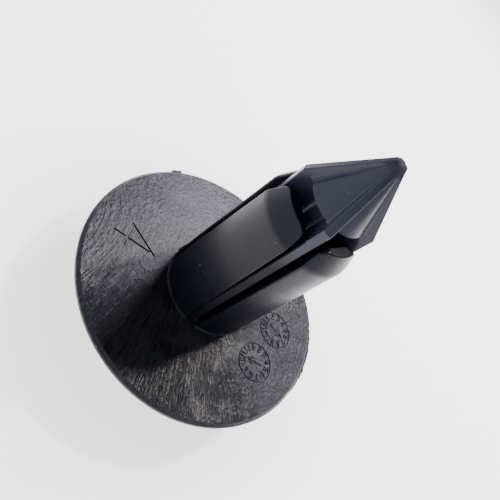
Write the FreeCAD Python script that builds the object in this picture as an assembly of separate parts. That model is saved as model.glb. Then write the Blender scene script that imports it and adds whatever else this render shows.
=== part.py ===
import FreeCAD, Part
import math
import os

# A two-piece push rivet for thin panels, in millimetres.
# +Z runs along the shank to the tip, and z = 0 is the flange face that seats on the panel.
# The pin is drawn as supplied: raised, with the legs closed.

# Flange of the grommet
flange_radius = 11.12
flange_thickness = 1.90
rim_thickness = 0.78
rim_front_bevel = 0.25
rim_back_bevel = 0.25
gate_angle = -132.0
gate_width = 0.90
gate_reach = 0.22

# Shank of the grommet: four legs
grip_radius = 4.05
grip_length = 3.0
leg_draft = 0.13
shoulder_height = 11.85
shoulder_round = 1.0
leg_length = 13.5
ramp_inset = 0.68
leg_end_wall = 0.70
leg_wall = 1.45
leg_edge_round = 0.12
root_bevel = 0.12

# Slots between the legs
slot_width_root = 1.05
slot_width_end = 1.50
slot_mouth_round = 0.60

# Pads inside the legs, which the pin's core spreads
pad_height = 0.55
pad_ramp = 1.6
pad_length = 2.1
mouth_depth = 0.70

# Pin: head and core
head_radius = 5.5
head_thickness = 1.10
head_bevel = 0.30
head_clearance = 0.25
push_travel = 4.0
running_gap = 0.10
core_step = 0.90
core_nose = 1.30
neck_radius = 1.45

# Pin: ribs
rib_count = 4
rib_inset = 0.72
rib_side_gap = 0.195
rib_end_gap = 0.27

# Pin: tip
tip_gap = 1.10
tip_length = 4.92
tip_inset = 0.11
tip_rib_end_width = 0.50
valley_round = 0.35
valley_round_end = 0.03
valley_room_share = 0.9
nose_radius = 0.53
nose_face_inset = 0.09
nose_round = 0.25
rib_edge_bevel = 0.06

# Notches in the recess wall, to pry the head out
notch_count = 2
notch_angle = 45.0
notch_width = 3.2
notch_reach = 1.0
notch_depth = 0.70
notch_land = 0.15

# Worked out from the sizes above
back_z = -flange_thickness
recess_z = back_z + head_thickness
recess_radius = head_radius + head_clearance
back_flat_radius = recess_radius + notch_reach + notch_land
head_top_z = recess_z - push_travel
head_face_z = head_top_z - head_thickness
shoulder_radius = grip_radius - leg_draft
leg_end_radius = shoulder_radius - ramp_inset
bore_radius = grip_radius - leg_wall
pad_radius = bore_radius - pad_height
mouth_radius = leg_end_radius - leg_end_wall
pad_stop_z = leg_length - mouth_depth
pad_full_z = pad_stop_z - pad_length
pad_start_z = pad_full_z - pad_ramp
leg_foot_z = recess_z / 2
rib_radius = grip_radius - rib_inset
opening_reach = rib_radius + rib_end_gap
rib_thickness = slot_width_root - 2 * rib_side_gap
tip_base_radius = mouth_radius - tip_inset
tip_base_z = leg_length + tip_gap
nose_z = tip_base_z + tip_length
nose_face_radius = nose_radius - nose_face_inset
upper_core_radius = bore_radius - running_gap
lower_core_radius = pad_radius - running_gap
upper_core_z = pad_start_z - push_travel - core_step
lower_core_z = pad_stop_z - push_travel
slot_pitch = 360.0 / rib_count
over = 1.0
fine = 0.0001


def vec(x, y, z):
    return FreeCAD.Vector(x, y, z)


def outline(corners):
    """Closed wire in the XZ plane from corners (x, z, size): a size above zero rounds the corner to
    that radius, and one below zero bevels it by that much along both sides."""
    count = len(corners)
    starts = []
    mids = []
    ends = []
    for i in range(count):
        x, z, size = corners[i]
        here = vec(x, 0, z)
        before = vec(corners[i - 1][0], 0, corners[i - 1][1])
        after = vec(corners[(i + 1) % count][0], 0, corners[(i + 1) % count][1])
        to_before = (before - here).normalize()
        to_after = (after - here).normalize()
        middle = None
        back = -size
        if size > 0:
            half = to_before.getAngle(to_after) / 2
            inward = (to_before + to_after).normalize()
            middle = here + inward * (size / math.sin(half) - size)
            back = size / math.tan(half)
        starts.append(here + to_before * back)
        mids.append(middle)
        ends.append(here + to_after * back)
    edges = []
    for i in range(count):
        following = starts[(i + 1) % count]
        if mids[i] is not None:
            edges.append(Part.Arc(starts[i], mids[i], ends[i]).toShape())
        elif starts[i].distanceToPoint(ends[i]) > fine:
            edges.append(Part.LineSegment(starts[i], ends[i]).toShape())
        if ends[i].distanceToPoint(following) > fine:
            edges.append(Part.LineSegment(ends[i], following).toShape())
    return Part.Wire(edges)


def turned(corners):
    """Solid of revolution about Z from corners (radius, z, size)."""
    return Part.Face(outline(corners)).revolve(vec(0, 0, 0), vec(0, 0, 1), 360)


def around(shape, count, start=0.0):
    """Copies of a shape about Z, evenly spaced."""
    copies = []
    for i in range(count):
        copy = shape.copy()
        copy.rotate(vec(0, 0, 0), vec(0, 0, 1), start + i * 360.0 / count)
        copies.append(copy)
    return copies


def middle_of(edge):
    point = edge.valueAt((edge.FirstParameter + edge.LastParameter) / 2)
    return point, math.hypot(point.x, point.y)


def flange():
    """Thin disc, thicker at the middle, with a recess for the head and a cross-shaped opening."""
    disc = turned([
        (0, back_z, 0),
        (back_flat_radius, back_z, 0),
        (flange_radius, -rim_thickness, -rim_back_bevel),
        (flange_radius, 0, -rim_front_bevel),
        (0, 0, 0),
    ])
    depth = flange_thickness + 2 * over
    recess = Part.makeCylinder(recess_radius, head_thickness + over, vec(0, 0, back_z - over))
    notch = Part.makeBox(notch_width, recess_radius + notch_reach, notch_depth + over,
                         vec(-notch_width / 2, 0, back_z - over))
    bore = Part.makeCylinder(bore_radius, depth, vec(0, 0, back_z - over))
    arm = Part.makeBox(opening_reach, slot_width_root, depth,
                       vec(0, -slot_width_root / 2, back_z - over))
    cutters = [recess, bore]
    cutters += around(notch, notch_count, notch_angle)
    cutters += around(arm, rib_count)
    return disc.cut(cutters)


def gate_mark():
    """Trimmed stub left on the rim where the plastic ran in."""
    depth = rim_thickness - rim_front_bevel - rim_back_bevel
    stub = Part.makeBox(over + gate_reach, gate_width, depth,
                        vec(flange_radius - over, -gate_width / 2, -rim_front_bevel - depth))
    stub.rotate(vec(0, 0, 0), vec(0, 0, 1), gate_angle)
    return stub


def shank_form():
    """Outer form of the shank: a straight grip, a slight draft, then the lead-in ramp."""
    ramp_slope = ramp_inset / (leg_length - shoulder_height)
    return turned([
        (0, leg_foot_z, 0),
        (grip_radius, leg_foot_z, 0),
        (grip_radius, grip_length, 0),
        (shoulder_radius, shoulder_height, shoulder_round),
        (leg_end_radius - ramp_slope * over, leg_length + over, 0),
        (0, leg_length + over, 0),
    ])


def bore_form():
    """Space between the legs: straight, then narrow at the pads, with a flared mouth."""
    return turned([
        (0, leg_foot_z - over, 0),
        (bore_radius, leg_foot_z - over, 0),
        (bore_radius, pad_start_z, 0),
        (pad_radius, pad_full_z, 0),
        (pad_radius, pad_stop_z, 0),
        (mouth_radius, leg_length, 0),
        (mouth_radius, leg_length + over, 0),
        (0, leg_length + over, 0),
    ])


def beside_slot():
    """Room for the legs on one side of the slot along X; the corner at the end is rounded."""
    reach = grip_radius + over
    face = Part.Face(outline([
        (slot_width_root / 2, leg_foot_z, 0),
        (reach, leg_foot_z, 0),
        (reach, leg_length, 0),
        (slot_width_end / 2, leg_length, slot_mouth_round),
    ]))
    face.rotate(vec(0, 0, 0), vec(0, 0, 1), 90)
    face.translate(vec(-reach, 0, 0))
    return face.extrude(vec(2 * reach, 0, 0))


def leg():
    """One leg of the shank, between two slots, with its outer edges rounded."""
    side = beside_slot()
    middle = math.radians(slot_pitch / 2)
    other_side = side.mirror(vec(0, 0, 0), vec(math.sin(middle), -math.cos(middle), 0))
    body = shank_form().common(side).common(other_side).cut(bore_form()).Solids[0]
    inner_limit = leg_end_radius - leg_end_wall / 2
    rounded = []
    for edge in body.Edges:
        point, radius = middle_of(edge)
        rises = abs(edge.Vertexes[0].Z - edge.Vertexes[-1].Z) > fine
        at_end = point.z > leg_length - fine
        if radius > inner_limit and (rises or at_end):
            rounded.append(edge)
    return body.makeFillet(leg_edge_round, rounded)


def grommet():
    """Flange and legs, moulded as one."""
    body = flange().fuse(around(leg(), rib_count) + [gate_mark()]).removeSplitter().Solids[0]
    roots = []
    for edge in body.Edges:
        point, radius = middle_of(edge)
        if abs(point.z) < fine and abs(radius - grip_radius) < fine:
            roots.append(edge)
    return body.makeChamfer(root_bevel, roots)


def head():
    """Flat round head that the finished rivet is pushed in by."""
    return turned([
        (0, head_face_z, 0),
        (head_radius, head_face_z, -head_bevel),
        (head_radius, head_top_z, 0),
        (0, head_top_z, 0),
    ])


def core():
    """Core of the pin: thick under the head, thinner between the pads, then the neck."""
    foot_z = head_top_z - head_thickness / 2
    return turned([
        (0, foot_z, 0),
        (upper_core_radius, foot_z, 0),
        (upper_core_radius, upper_core_z, 0),
        (lower_core_radius, upper_core_z + core_step, 0),
        (lower_core_radius, lower_core_z, 0),
        (neck_radius, lower_core_z + core_nose, 0),
        (neck_radius, tip_base_z + neck_radius, 0),
        (0, tip_base_z + neck_radius, 0),
    ])


def ribs():
    """Ribs that run in the slots, from the head to the back of the tip."""
    half = rib_thickness / 2
    section = Part.Face(outline([
        (0, -half, 0),
        (rib_radius, -half, -rib_edge_bevel),
        (rib_radius, half, -rib_edge_bevel),
        (0, half, 0),
    ]))
    section.rotate(vec(0, 0, 0), vec(1, 0, 0), 90)
    section.translate(vec(0, 0, head_top_z))
    return around(section.extrude(vec(0, 0, tip_base_z - head_top_z)), rib_count)


def tip_section(height, reach, width, face_radius, valley, bevel):
    """Closed wire across the tip: ribs about a round body, with rounded valleys between them."""
    half = width / 2
    slope = math.sin(math.radians(slot_pitch / 2))
    room = (face_radius * slope - half) / (1 - slope)
    valley = min(valley, valley_room_share * room)
    centre = vec(math.sqrt((face_radius + valley) ** 2 - (half + valley) ** 2), half + valley, 0)
    low = centre * (face_radius / (face_radius + valley))
    high = vec(centre.x, half, 0)
    middle = centre + (low + high - centre * 2).normalize() * valley
    shoulder = vec(reach - bevel, half, 0)
    corner = vec(reach, half - bevel, 0)
    upper = [high, shoulder, corner]
    lower = [vec(point.x, -point.y, 0) for point in [low, middle] + upper]
    crest = FreeCAD.Rotation(vec(0, 0, 1), slot_pitch / 2).multVec(vec(face_radius, 0, 0))
    following = FreeCAD.Rotation(vec(0, 0, 1), slot_pitch).multVec(lower[0])
    edges = [
        Part.Arc(lower[0], lower[1], lower[2]).toShape(),
        Part.LineSegment(lower[2], lower[3]).toShape(),
        Part.LineSegment(lower[3], lower[4]).toShape(),
        Part.LineSegment(lower[4], corner).toShape(),
        Part.LineSegment(corner, shoulder).toShape(),
        Part.LineSegment(shoulder, high).toShape(),
        Part.Arc(high, middle, low).toShape(),
        Part.Arc(low, crest, following).toShape(),
    ]
    all_edges = []
    for i in range(rib_count):
        for edge in edges:
            all_edges += around(edge, 1, i * slot_pitch)
    wire = Part.Wire(all_edges)
    wire.translate(vec(0, 0, height))
    return wire


def nose_section(angle):
    """Section of the tip where the nose's rounding has turned by an angle, from 0 to 90 degrees."""
    turn = math.radians(angle)
    shrink = 1 - nose_round * (1 - math.cos(turn)) / nose_radius
    return tip_section(nose_z - nose_round * (1 - math.sin(turn)), nose_radius * shrink,
                       tip_rib_end_width * shrink, nose_face_radius * shrink,
                       valley_round_end * shrink, rib_edge_bevel * shrink)


def tip():
    """Pointed tip: cone faces between tapering ribs, with a flat back and a rounded nose."""
    base = tip_section(tip_base_z, rib_radius, rib_thickness, tip_base_radius, valley_round,
                       rib_edge_bevel)
    return Part.makeLoft([base, nose_section(0), nose_section(45), nose_section(90)], True, True)


def pin():
    """Head, core, ribs and tip, moulded as one."""
    body = core().fuse([head(), tip()] + ribs())
    return body.removeSplitter().Solids[0]


os.makedirs("parts", exist_ok=True)
nodes = {"grommet": grommet(), "pin": pin()}
for name, shape in nodes.items():
    print(name, len(shape.Solids), "solid, valid", shape.isValid(), "volume", round(shape.Volume, 2))
    shape.exportStep("parts/" + name + ".step")
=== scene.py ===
import math

import bmesh
import bpy
from mathutils import Matrix, Vector, kdtree, noise


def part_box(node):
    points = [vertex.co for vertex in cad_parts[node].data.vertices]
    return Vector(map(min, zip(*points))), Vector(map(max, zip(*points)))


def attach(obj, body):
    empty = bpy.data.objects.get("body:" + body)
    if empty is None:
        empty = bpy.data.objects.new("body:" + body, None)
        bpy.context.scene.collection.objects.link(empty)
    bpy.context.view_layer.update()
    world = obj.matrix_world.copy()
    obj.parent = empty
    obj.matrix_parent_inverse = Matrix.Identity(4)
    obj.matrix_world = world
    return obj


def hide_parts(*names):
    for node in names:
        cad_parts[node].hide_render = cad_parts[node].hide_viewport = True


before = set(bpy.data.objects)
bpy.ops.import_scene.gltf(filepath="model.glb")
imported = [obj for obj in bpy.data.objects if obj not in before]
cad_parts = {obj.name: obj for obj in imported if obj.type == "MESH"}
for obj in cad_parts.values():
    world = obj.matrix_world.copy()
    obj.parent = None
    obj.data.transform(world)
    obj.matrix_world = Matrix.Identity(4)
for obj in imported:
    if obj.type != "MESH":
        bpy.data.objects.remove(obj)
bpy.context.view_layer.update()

MM = 0.001

# The photograph's viewpoint, in the part's own frame (degrees, millimetres and pixels)
FRAME_PIXELS = 500
SENSOR_MM = 36.0
CAMERA_AZIMUTH = -19.67
CAMERA_ELEVATION = 48.69
CAMERA_DISTANCE = 41.2
CAMERA_AIM = (0.659, 0.111, 8.0)
CAMERA_ROLL = 57.49
CAMERA_FOCAL_PIXELS = 492.2
CAMERA_CENTRE_OFFSET = (21.95, 3.80)
CAMERA_CLIP = 1.0

# Round lamps: name, azimuth and elevation (degrees), size (millimetres), radiance and colour
LAMP_DISTANCE = 260
LAMPS = (
    ("sun", 151, 59, 18, 1100.0, (1.0, 0.91, 0.88)),
    ("key", 172, 48, 70, 60.0, (0.89, 0.86, 1.0)),
    ("top", -100, 65, 50, 4.0, (1.0, 1.0, 1.0)),
    ("bounce", 99, 16, 130, 1.6, (1.0, 1.0, 1.0)),
)

# The floor glows a little. FADE is how that changes far from the part, and CONTACT is painted shade that
# dims
# the glow close to it: two distances (metres), then the strength at each.
FLOOR_HALF = 0.6
FLOOR_COLOUR = (0.6, 0.6, 0.61, 1)
FLOOR_ROUGHNESS = 0.9
FLOOR_GLOW_COLOUR = (1, 0.98, 1, 1)
FLOOR_FADE = (0.12, 0.45, 2.8, 1.2)
FLOOR_CONTACT = (0.010, 0.025, 0.65, 1.0)

# Walls: bluish, brightest a little above the skyline (sines of elevation), and shaded away from one side
WALL_COLOUR = (0.76, 0.81, 1.0, 1)
WALL_HEIGHTS = (-0.05, 0.20, 0.36, 0.62)
WALL_GLOW = (1.1, 2.7, 0.10)
WALL_SIDE = -25.0
WALL_SHADE = (-0.45, 0.25, 0.22, 1.0)

# Tones of the black plastic; the hazy tone is partly painted light, and the shaft's tone is painted shade
BARE_TONE = (0.0035, 0.0035, 0.0070, 1)
SCUFFED_TONE = (0.011, 0.0105, 0.013, 1)
SCRATCHED_TONE = (0.026, 0.026, 0.031, 1)
HAZE_AND_PAINTED_LIGHT_TONE = (0.048, 0.048, 0.057, 1)
PIN_DARK_TONE = (0.011, 0.013, 0.023, 1)
PIN_LIGHT_TONE = (0.017, 0.018, 0.029, 1)
SHAFT_PAINTED_SHADE_TONE = (0.003, 0.003, 0.007, 1)
DUST_TONE = (0.22, 0.22, 0.23, 1)
GROMMET_SPECULAR = 0.18
PIN_SPECULAR = 0.25

# Depths of the bumps (millimetres)
SWIRL_DEPTH = 0.042
BAND_DEPTH = 0.012
LINE_DEPTH = 0.028
SPECKLE_DEPTH = 0.022
GRAIN_DEPTH = 0.005

# Where the finish changes (degrees and millimetres): where the scuffs bend to, where they are faint, the
# hazy tone near the gate, the patch with the dials, partly wear and partly painted light, and the pin's
# duller shaft, with painted shade, and nose
SCUFF_ANGLE = -50.0
CALM_ANGLE = -105.0
CALM_COSINES = (0.45, 0.85)
GATE_RADIUS = 9.0
GATE_ANGLE = -150.0
GATE_HAZE = (1.5, 7.0)
WEAR_AND_PAINTED_LIGHT_FROM = (42.0, 62.0)
WEAR_AND_PAINTED_LIGHT_TO = (112.0, 135.0)
WEAR_AND_PAINTED_LIGHT_RADII = (4.4, 5.6)
FLANGE_HEIGHTS = (0.02, 0.30)
SHAFT_HEIGHTS = (9.0, 12.5)
NOSE_HEIGHTS = (18.6, 19.0)

# Engraved marks on the flange, generic mould marks only (millimetres and degrees). FLARE and TAPER are the
# groove cutter's width above the face and at its bottom, as shares of the stroke's.
NUMERAL = "4"
NUMERAL_STROKE = 0.27
NUMERAL_HEIGHT = 3.4
NUMERAL_PITCH = 0.75
NUMERAL_RADIUS = 7.35
NUMERAL_ANGLE = -80.0
DIAL_STROKE = 0.12
DIAL_RADIUS = 1.62
DIAL_SIDES = 48
DIAL_PLACE_RADIUS = 7.1
DIAL_ANGLES = (66.0, 99.0)
DIAL_HANDS = (35.0, 160.0)
DIAL_NUMBERS = 12
DIAL_NUMBER_HEIGHT = 0.42
DIAL_NUMBER_RING = 0.76
STROKE_DEPTH = 0.10
STROKE_RISE = 0.08
STROKE_FLARE = 1.25
STROKE_TAPER = 0.6
LEAST_MITRE = 0.4

# A dial's arrow: its half length as a share of the ring's radius, then its barbs and point as shares of that
ARROW_ARM = 0.42
ARROW_BARB = (0.42, 0.4)
ARROW_POINT = 1.25

# Thin flash on the rim, from one angle to another: its reach, its rough edge, the depth of its root in the
# rim and the heights of its upper root, edge and lower root. WAVES are frequency, seed and size.
FLANGE_RADIUS = 11.12
FLASH_FROM = 76.0
FLASH_TO = 130.0
FLASH_STEPS = 90
FLASH_REACH = 0.44
FLASH_SHARE = 0.58
FLASH_ROUGH = 0.7
FLASH_LEAST = 0.1
FLASH_ROOT = 0.1
FLASH_HEIGHTS = (-0.27, -0.30, -0.44)
FLASH_WAVES = ((17.0, 3.1, 0.5), (47.0, 7.7, 0.35))

# How near (metres) points are welded or matched, and how alike two faces' directions are to count as one
WELD = 1e-7
SAME_PLACE = 2e-7
SAME_DIRECTION = 0.9995

# Strokes of plain numerals, on a cell one unit wide and two high
NUMERALS = {
    "0": [[(0, 0), (1, 0), (1, 2), (0, 2), (0, 0)]],
    "1": [[(0.5, 0), (0.5, 2), (0.1, 1.6)]],
    "2": [[(0, 2), (1, 2), (1, 1), (0, 1), (0, 0), (1, 0)]],
    "3": [[(0, 2), (1, 2), (1, 0), (0, 0)], [(0.25, 1), (0.85, 1)]],
    "4": [[(0.8, 0), (0.8, 2), (0, 0.6), (1.15, 0.6)]],
    "5": [[(1, 2), (0, 2), (0, 1), (1, 1), (1, 0), (0, 0)]],
    "6": [[(1, 2), (0, 2), (0, 0), (1, 0), (1, 1), (0.15, 1)]],
    "7": [[(0, 2), (1, 2), (0.3, 0)]],
    "8": [[(0, 0), (1, 0), (1, 2), (0, 2), (0, 0)], [(0.15, 1), (0.85, 1)]],
    "9": [[(0.85, 1), (0, 1), (0, 2), (1, 2), (1, 0), (0, 0)]],
}


def polar(azimuth, elevation, distance):
    """Point in metres at an azimuth and elevation in degrees and a distance in millimetres."""
    a = math.radians(azimuth)
    e = math.radians(elevation)
    return Vector((math.cos(a) * math.cos(e), math.sin(a) * math.cos(e), math.sin(e))) * distance * MM


def on_face(radius, angle):
    """Point (x, y) of the flange's face at a radius and an angle in degrees."""
    a = math.radians(angle)
    return (radius * math.cos(a), radius * math.sin(a))


def link(obj):
    """Put an object into the scene."""
    bpy.context.scene.collection.objects.link(obj)
    return obj


class Graph:
    """Short calls that build the nodes of a material or a world."""

    def __init__(self, owner, shader="Principled BSDF"):
        owner.use_nodes = True
        self.owner = owner
        self.nodes = owner.node_tree.nodes
        self.links = owner.node_tree.links
        self.shader = self.nodes[shader]

    def put(self, socket, value):
        if isinstance(value, bpy.types.NodeSocket):
            self.links.new(value, socket)
        else:
            socket.default_value = value

    def give(self, name, value):
        """Give the shader's input a value or a link."""
        self.put(self.shader.inputs[name], value)

    def coordinate(self, name):
        return self.nodes.new("ShaderNodeTexCoord").outputs[name]

    def place(self):
        """Position on the part in millimetres."""
        node = self.nodes.new("ShaderNodeVectorMath")
        node.operation = "SCALE"
        self.put(node.inputs[0], self.coordinate("Object"))
        self.put(node.inputs["Scale"], 1 / MM)
        return node.outputs[0]

    def measure(self, operation, *vectors):
        """Number worked out from vectors, such as a length."""
        node = self.nodes.new("ShaderNodeVectorMath")
        node.operation = operation
        for socket, vector in zip(node.inputs, vectors):
            self.put(socket, vector)
        return node.outputs["Value"]

    def math(self, operation, *values):
        node = self.nodes.new("ShaderNodeMath")
        node.operation = operation
        for socket, value in zip(node.inputs, values):
            self.put(socket, value)
        return node.outputs[0]

    def product(self, first, *rest):
        for factor in rest:
            first = self.math("MULTIPLY", first, factor)
        return first

    def total(self, first, *rest):
        for term in rest:
            first = self.math("ADD", first, term)
        return first

    def distance(self, x, y):
        return self.math("SQRT", self.total(self.product(x, x), self.product(y, y)))

    def combine(self, *values):
        node = self.nodes.new("ShaderNodeCombineXYZ")
        for socket, value in zip(node.inputs, values):
            self.put(socket, value)
        return node.outputs[0]

    def split(self, vector):
        node = self.nodes.new("ShaderNodeSeparateXYZ")
        self.put(node.inputs[0], vector)
        return node.outputs[0], node.outputs[1], node.outputs[2]

    def noise(self, vector, scale, detail, roughness=0.5, distortion=0.0):
        node = self.nodes.new("ShaderNodeTexNoise")
        self.put(node.inputs["Vector"], vector)
        self.put(node.inputs["Scale"], scale)
        self.put(node.inputs["Detail"], detail)
        self.put(node.inputs["Roughness"], roughness)
        self.put(node.inputs["Distortion"], distortion)
        return node.outputs[0]

    def span(self, value, from_low, from_high, to_low=0.0, to_high=1.0, smooth=False):
        """Ramp from to_low at from_low to to_high at from_high."""
        node = self.nodes.new("ShaderNodeMapRange")
        node.interpolation_type = "SMOOTHSTEP" if smooth else "LINEAR"
        for socket, v in zip(node.inputs, (value, from_low, from_high, to_low, to_high)):
            self.put(socket, v)
        return node.outputs[0]

    def where(self, mask, share):
        """Factor that is 1 off the mask and share on it."""
        return self.span(mask, 0.0, 1.0, 1.0, share)

    def blend(self, factor, a, b):
        node = self.nodes.new("ShaderNodeMix")
        node.data_type = "RGBA"
        self.put(node.inputs["Factor"], factor)
        self.put(node.inputs["A"], a)
        self.put(node.inputs["B"], b)
        return node.outputs["Result"]

    def bump(self, height, depth, normal=None):
        """Bump of a height from 0 to 1 and a depth in millimetres, on top of another."""
        node = self.nodes.new("ShaderNodeBump")
        self.put(node.inputs["Height"], height)
        self.put(node.inputs["Distance"], depth * MM)
        if normal is not None:
            self.put(node.inputs["Normal"], normal)
        return node.outputs[0]

    def grain(self, at):
        """Fine grain of the mould's surface."""
        return self.noise(at, scale=7.0, detail=3.0, roughness=0.7)

    def dusted(self, at, tone):
        """The tone with a few tiny pale specks of dust on it."""
        specks = self.span(self.noise(at, scale=4.5, detail=0.0), 0.87, 0.89)
        return self.blend(specks, tone, DUST_TONE)


def look_at(place, target, roll=0.0):
    """Matrix of a camera or lamp at place that faces target, turned by roll degrees about its view."""
    turn = (target - place).to_track_quat("-Z", "Y").to_matrix().to_4x4()
    return Matrix.Translation(place) @ turn @ Matrix.Rotation(math.radians(roll), 4, "Z")


def make_camera():
    data = bpy.data.cameras.new("camera")
    data.sensor_width = SENSOR_MM
    data.lens = CAMERA_FOCAL_PIXELS / FRAME_PIXELS * SENSOR_MM
    data.shift_x = -CAMERA_CENTRE_OFFSET[0] / FRAME_PIXELS
    data.shift_y = CAMERA_CENTRE_OFFSET[1] / FRAME_PIXELS
    data.clip_start = CAMERA_CLIP * MM
    camera = link(bpy.data.objects.new("camera", data))
    place = polar(CAMERA_AZIMUTH, CAMERA_ELEVATION, CAMERA_DISTANCE)
    camera.matrix_world = look_at(place, Vector(CAMERA_AIM) * MM, CAMERA_ROLL)
    bpy.context.scene.camera = camera


def make_lamp(name, azimuth, elevation, size, radiance, colour):
    """Round soft lamp, as bright as its radiance says whatever its size."""
    data = bpy.data.lights.new(name, "AREA")
    data.shape = "DISK"
    data.size = size * MM
    data.energy = radiance * math.pi * math.pi * (size * MM / 2) ** 2
    data.color = colour
    lamp = link(bpy.data.objects.new(name, data))
    lamp.visible_camera = False
    lamp.matrix_world = look_at(polar(azimuth, elevation, LAMP_DISTANCE), Vector((0, 0, 0)))


def make_floor(height):
    """Pale floor that glows, with painted shade under the part where its glow is dimmed."""
    mesh = bpy.data.meshes.new("floor")
    corners = [(x * FLOOR_HALF, y * FLOOR_HALF, height) for x, y in ((-1, -1), (1, -1), (1, 1), (-1, 1))]
    mesh.from_pydata(corners, [], [(0, 1, 2, 3)])
    floor = link(bpy.data.objects.new("floor", mesh))
    g = Graph(bpy.data.materials.new("floor_pale"))
    g.give("Base Color", FLOOR_COLOUR)
    g.give("Roughness", FLOOR_ROUGHNESS)
    g.give("Emission Color", FLOOR_GLOW_COLOUR)
    reach = g.measure("LENGTH", g.coordinate("Object"))
    fade = g.span(reach, *FLOOR_FADE, smooth=True)
    # Painted shade: the floor's glow is dimmed close to the part.
    contact = g.span(reach, *FLOOR_CONTACT, smooth=True)
    g.give("Emission Strength", g.product(fade, contact))
    mesh.materials.append(g.owner)


def make_world():
    """Pale walls round the part and a dim ceiling."""
    world = bpy.data.worlds.new("studio")
    bpy.context.scene.world = world
    g = Graph(world, "Background")
    g.give("Color", WALL_COLOUR)
    direction = g.coordinate("Generated")
    height = g.split(direction)[2]
    foot, low, high, top = WALL_HEIGHTS
    foot_glow, wall_glow, top_glow = WALL_GLOW
    rise = g.span(height, foot, low, foot_glow, wall_glow, smooth=True)
    fall = g.span(height, high, top, 1.0, top_glow / wall_glow, smooth=True)
    sideways = g.measure("DOT_PRODUCT", direction, polar(WALL_SIDE, 0, 1 / MM))
    shade = g.span(sideways, *WALL_SHADE, smooth=True)
    g.give("Strength", g.product(rise, fall, shade))


def grommet_plastic():
    """Black moulding: scuffs that run outward across the flange, a hazy tone near the gate, a rougher patch
    round the dials whose lighter tone is partly wear and partly painted light, a little dust, and nearly
    smooth legs."""
    g = Graph(bpy.data.materials.new("grommet_plastic"))
    at = g.place()
    x, y, z = g.split(at)
    radius = g.distance(x, y)
    angle = g.math("ARCTAN2", y, x)
    on_flange = g.span(z, *FLANGE_HEIGHTS, 1.0, 0.0)
    cloud = g.noise(at, scale=0.32, detail=3.0, roughness=0.55, distortion=0.6)
    patch = g.noise(at, scale=1.1, detail=2.0, distortion=0.8)

    gate_x, gate_y = on_face(GATE_RADIUS, GATE_ANGLE)
    from_gate = g.distance(g.math("SUBTRACT", x, gate_x), g.math("SUBTRACT", y, gate_y))
    gate_haze = g.product(on_flange, g.span(from_gate, *GATE_HAZE, 1.0, 0.0, smooth=True))
    # The rougher patch round the dials: its lighter tone is partly wear and partly painted light.
    into_wear_and_painted_light = g.span(angle, *map(math.radians, WEAR_AND_PAINTED_LIGHT_FROM), smooth=True)
    out_of_wear_and_painted_light = g.span(angle, *map(math.radians, WEAR_AND_PAINTED_LIGHT_TO), 1.0, 0.0, smooth=True)
    wear_and_painted_light = g.product(into_wear_and_painted_light, out_of_wear_and_painted_light, on_flange, g.span(radius, *WEAR_AND_PAINTED_LIGHT_RADII, smooth=True))
    facing = g.math("COSINE", g.math("SUBTRACT", angle, math.radians(CALM_ANGLE)))
    calm = g.span(facing, *CALM_COSINES, smooth=True)
    scratched = g.product(on_flange, g.span(cloud, 0.36, 0.60, 0.35, 1.0, smooth=True),
                          g.where(gate_haze, 0.55), g.where(calm, 0.3))

    # The scuffs follow curves that leave the shank and bend towards one side
    run = g.math("LOGARITHM", g.math("MAXIMUM", radius, 0.5), math.e)
    twist = g.math("COSINE", g.math("SUBTRACT", angle, math.radians(SCUFF_ANGLE)))
    turn = g.math("SUBTRACT", angle, g.product(twist, run))
    cos_turn = g.math("COSINE", turn)
    sin_turn = g.math("SINE", turn)

    def streaks(fine, along, detail, distortion):
        curve = g.combine(g.product(cos_turn, fine), g.product(sin_turn, fine), g.product(run, along))
        return g.noise(curve, scale=1.0, detail=detail, roughness=0.6, distortion=distortion)

    wide = streaks(fine=12.0, along=1.8, detail=2.0, distortion=0.4)
    thin = streaks(fine=50.0, along=5.5, detail=2.5, distortion=0.2)
    bands = g.product(g.span(wide, 0.40, 0.66), scratched)
    lines = g.product(g.span(thin, 0.42, 0.68), scratched)

    g.give("Roughness", g.total(0.27, g.product(on_flange, 0.03), g.product(bands, 0.07),
                                g.product(wear_and_painted_light, 0.05), g.product(calm, 0.05), g.product(lines, -0.06),
                                g.span(patch, 0.35, 0.65, 0.0, 0.05)))

    tone = g.blend(g.product(bands, 0.5), BARE_TONE, SCUFFED_TONE)
    tone = g.blend(g.product(lines, 0.5), tone, SCRATCHED_TONE)
    # Lighter, hazy tone near the gate, and on the patch round the dials, where it is partly painted light.
    haze_and_painted_light = g.math("MAXIMUM", wear_and_painted_light, g.product(gate_haze, 0.8))
    tone = g.blend(g.product(haze_and_painted_light, g.span(patch, 0.3, 0.7, 0.55, 1.0)), tone, HAZE_AND_PAINTED_LIGHT_TONE)
    g.give("Base Color", g.dusted(at, tone))
    g.give("Specular IOR Level", GROMMET_SPECULAR)

    swirl = g.noise(at, scale=0.55, detail=2.0, distortion=0.5)
    uneven = g.span(g.noise(at, scale=0.21, detail=1.0), 0.42, 0.58, smooth=True)
    speckle = g.span(g.noise(at, scale=3.2, detail=1.0), 0.45, 0.80)
    coarse = g.product(on_flange, g.total(0.75, g.product(wear_and_painted_light, 1.2)), g.where(calm, 0.85))
    normal = g.bump(g.product(swirl, uneven, on_flange), SWIRL_DEPTH)
    normal = g.bump(bands, BAND_DEPTH, normal)
    normal = g.bump(lines, LINE_DEPTH, normal)
    normal = g.bump(g.product(speckle, coarse), SPECKLE_DEPTH, normal)
    normal = g.bump(g.product(g.grain(at), g.where(on_flange, 1.6)), GRAIN_DEPTH, normal)
    g.give("Normal", normal)
    return g.owner


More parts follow.
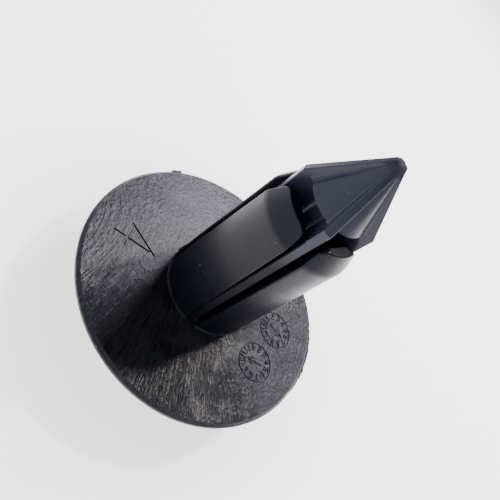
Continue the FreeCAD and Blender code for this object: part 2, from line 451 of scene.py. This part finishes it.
def pin_plastic():
    """Black moulding, a little smoother than the grommet, with a duller nose, a duller shaft that is
    darkened as painted shade, and some dust.
    """
    g = Graph(bpy.data.materials.new("pin_plastic"))
    at = g.place()
    height = g.split(at)[2]
    cloud = g.noise(at, scale=0.9, detail=3.0, roughness=0.55, distortion=0.6)
    # Painted shade: the shaft, down between the grommet's legs, gets a darker tone for the shade there; it
    # is duller too.
    shaft = g.span(height, *SHAFT_HEIGHTS, 1.0, 0.0, smooth=True)
    nose = g.span(height, *NOSE_HEIGHTS, smooth=True)
    tone = g.blend(shaft, g.blend(cloud, PIN_DARK_TONE, PIN_LIGHT_TONE), SHAFT_PAINTED_SHADE_TONE)
    g.give("Base Color", g.dusted(at, tone))
    g.give("Roughness", g.total(g.span(cloud, 0.3, 0.7, 0.24, 0.32), g.product(shaft, 0.28),
                                g.product(nose, 0.55)))
    g.give("Specular IOR Level", PIN_SPECULAR)
    g.give("Normal", g.bump(g.grain(at), GRAIN_DEPTH))
    return g.owner


def across(direction):
    """The direction turned a quarter turn to the left."""
    return Vector((-direction.y, direction.x))


def ribbon(bm, points, width, closed=False):
    """Groove cutter along a line of (x, y) points in millimetres on the flange's face."""
    count = len(points)
    half = width / 2
    rings = []
    for i, point in enumerate(points):
        here = Vector(point)
        arrive = (here - Vector(points[i - 1])).normalized() if i or closed else None
        leave = (Vector(points[(i + 1) % count]) - here).normalized() if i < count - 1 or closed else None
        if arrive is None:
            here -= leave * half
            arrive = leave
        if leave is None:
            here += arrive * half
            leave = arrive
        side = across((arrive + leave).normalized())
        side *= half / max(LEAST_MITRE, side.dot(across(leave)))
        corners = [(here + side * STROKE_FLARE, STROKE_RISE), (here - side * STROKE_FLARE, STROKE_RISE),
                   (here - side * STROKE_TAPER, -STROKE_DEPTH), (here + side * STROKE_TAPER, -STROKE_DEPTH)]
        rings.append([bm.verts.new((p.x * MM, p.y * MM, h * MM)) for p, h in corners])
    for i in range(count if closed else count - 1):
        a = rings[i]
        b = rings[(i + 1) % count]
        for k in range(4):
            bm.faces.new((a[k], a[(k + 1) % 4], b[(k + 1) % 4], b[k]))
    if not closed:
        bm.faces.new(reversed(rings[0]))
        bm.faces.new(rings[-1])


def numeral_lines(text, height):
    """Lines of plain numerals, centred on the origin."""
    unit = height / 2
    pitch = height * NUMERAL_PITCH
    width = pitch * (len(text) - 1) + unit
    lines = []
    for i, digit in enumerate(text):
        for line in NUMERALS[digit]:
            lines.append([(x * unit + i * pitch - width / 2, y * unit - unit) for x, y in line])
    return lines


def placed(line, centre, turn):
    """The line turned by an angle in degrees and moved to its centre."""
    c = math.cos(math.radians(turn))
    s = math.sin(math.radians(turn))
    return [(centre[0] + x * c - y * s, centre[1] + x * s + y * c) for x, y in line]


def dial_lines(hand):
    """Mould-date dial: a ring, and the lines of an arrow and of the plain numbers 1 to 12."""
    ring = [on_face(DIAL_RADIUS, i * 360 / DIAL_SIDES) for i in range(DIAL_SIDES)]
    arm = DIAL_RADIUS * ARROW_ARM
    barb_x, barb_y = (arm * share for share in ARROW_BARB)
    arrow = [[(0, -arm), (0, arm)], [(-barb_x, barb_y), (0, arm * ARROW_POINT), (barb_x, barb_y)]]
    lines = [placed(line, (0, 0), hand) for line in arrow]
    for number in range(1, DIAL_NUMBERS + 1):
        turn = -360 / DIAL_NUMBERS * number
        centre = on_face(DIAL_RADIUS * DIAL_NUMBER_RING, 90 + turn)
        lines += [placed(line, centre, turn) for line in numeral_lines(str(number), DIAL_NUMBER_HEIGHT)]
    return ring, lines


def groove_cutter():
    """One object that cuts all the engraved marks."""
    bm = bmesh.new()
    centre = on_face(NUMERAL_RADIUS, NUMERAL_ANGLE)
    for line in numeral_lines(NUMERAL, NUMERAL_HEIGHT):
        ribbon(bm, placed(line, centre, NUMERAL_ANGLE + 90), NUMERAL_STROKE)
    for angle, hand in zip(DIAL_ANGLES, DIAL_HANDS):
        centre = on_face(DIAL_PLACE_RADIUS, angle)
        ring, lines = dial_lines(hand)
        ribbon(bm, placed(ring, centre, angle + 90), DIAL_STROKE, closed=True)
        for line in lines:
            ribbon(bm, placed(line, centre, angle + 90), DIAL_STROKE)
    bmesh.ops.recalc_face_normals(bm, faces=bm.faces)
    mesh = bpy.data.meshes.new("groove_cutter")
    bm.to_mesh(mesh)
    bm.free()
    return link(bpy.data.objects.new("groove_cutter", mesh))


def add_flash(bm):
    """Ragged sliver of flash on the rim, thinner than the rim and fading out at both ends."""
    rows = []
    for i in range(FLASH_STEPS + 1):
        t = i / FLASH_STEPS
        angle = FLASH_FROM + (FLASH_TO - FLASH_FROM) * t
        ragged = sum(noise.noise((t * waves, seed, 0.0)) * size for waves, seed, size in FLASH_WAVES)
        share = max(FLASH_LEAST, FLASH_SHARE + ragged * FLASH_ROUGH)
        reach = FLASH_REACH * math.sin(math.pi * t) ** 0.5 * share
        row = []
        for out, height in zip((-FLASH_ROOT, reach, -FLASH_ROOT), FLASH_HEIGHTS):
            x, y = on_face(FLANGE_RADIUS + out, angle)
            row.append(bm.verts.new((x * MM, y * MM, height * MM)))
        rows.append(row)
    for a, b in zip(rows, rows[1:]):
        for k in range(3):
            bm.faces.new((a[k], a[(k + 1) % 3], b[(k + 1) % 3], b[k]))
    bm.faces.new(reversed(rows[0]))
    bm.faces.new(rows[-1])


def shading_of(mesh):
    """The mesh's corner normals by place, each with its face's own normal."""
    tree = kdtree.KDTree(len(mesh.loops))
    entries = []
    for face in mesh.polygons:
        for corner in face.loop_indices:
            tree.insert(mesh.vertices[mesh.loops[corner].vertex_index].co, len(entries))
            entries.append((face.normal.copy(), mesh.corner_normals[corner].vector.copy()))
    tree.balance()
    return tree, entries


def keep_shading(mesh, tree, entries):
    """Give each corner its first normal back. Cut faces and flash are shaded flat."""
    mesh.shade_smooth()
    normals = []
    for face in mesh.polygons:
        for corner in face.loop_indices:
            place = mesh.vertices[mesh.loops[corner].vertex_index].co
            best = SAME_DIRECTION
            normal = face.normal
            for _, index, _ in tree.find_range(place, SAME_PLACE):
                likeness = entries[index][0].dot(face.normal)
                if likeness > best:
                    best = likeness
                    normal = entries[index][1]
            normals.append(normal)
    mesh.normals_split_custom_set(normals)


def make_grommet():
    """The moulded grommet as the CAD has it, with its engraved marks and flash."""
    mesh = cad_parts["grommet"].data.copy()
    body = link(bpy.data.objects.new("grommet_body", mesh))
    tree, entries = shading_of(mesh)
    bm = bmesh.new()
    bm.from_mesh(mesh)
    bmesh.ops.remove_doubles(bm, verts=bm.verts, dist=WELD)
    bm.to_mesh(mesh)
    bm.free()

    cutter = groove_cutter()
    cut = body.modifiers.new("grooves", "BOOLEAN")
    cut.object = cutter
    cut.solver = "EXACT"
    cut.use_self = True
    cut_mesh = bpy.data.meshes.new_from_object(body.evaluated_get(bpy.context.evaluated_depsgraph_get()))
    body.modifiers.clear()
    body.data = cut_mesh
    bpy.data.objects.remove(cutter)

    bm = bmesh.new()
    bm.from_mesh(cut_mesh)
    add_flash(bm)
    bm.to_mesh(cut_mesh)
    bm.free()
    keep_shading(cut_mesh, tree, entries)
    cut_mesh.materials.clear()
    cut_mesh.materials.append(grommet_plastic())
    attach(body, "grommet")
    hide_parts("grommet")


make_camera()
make_world()
make_floor(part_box("pin")[0].z)
for lamp in LAMPS:
    make_lamp(*lamp)

make_grommet()
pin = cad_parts["pin"]
pin.data.materials.clear()
pin.data.materials.append(pin_plastic())
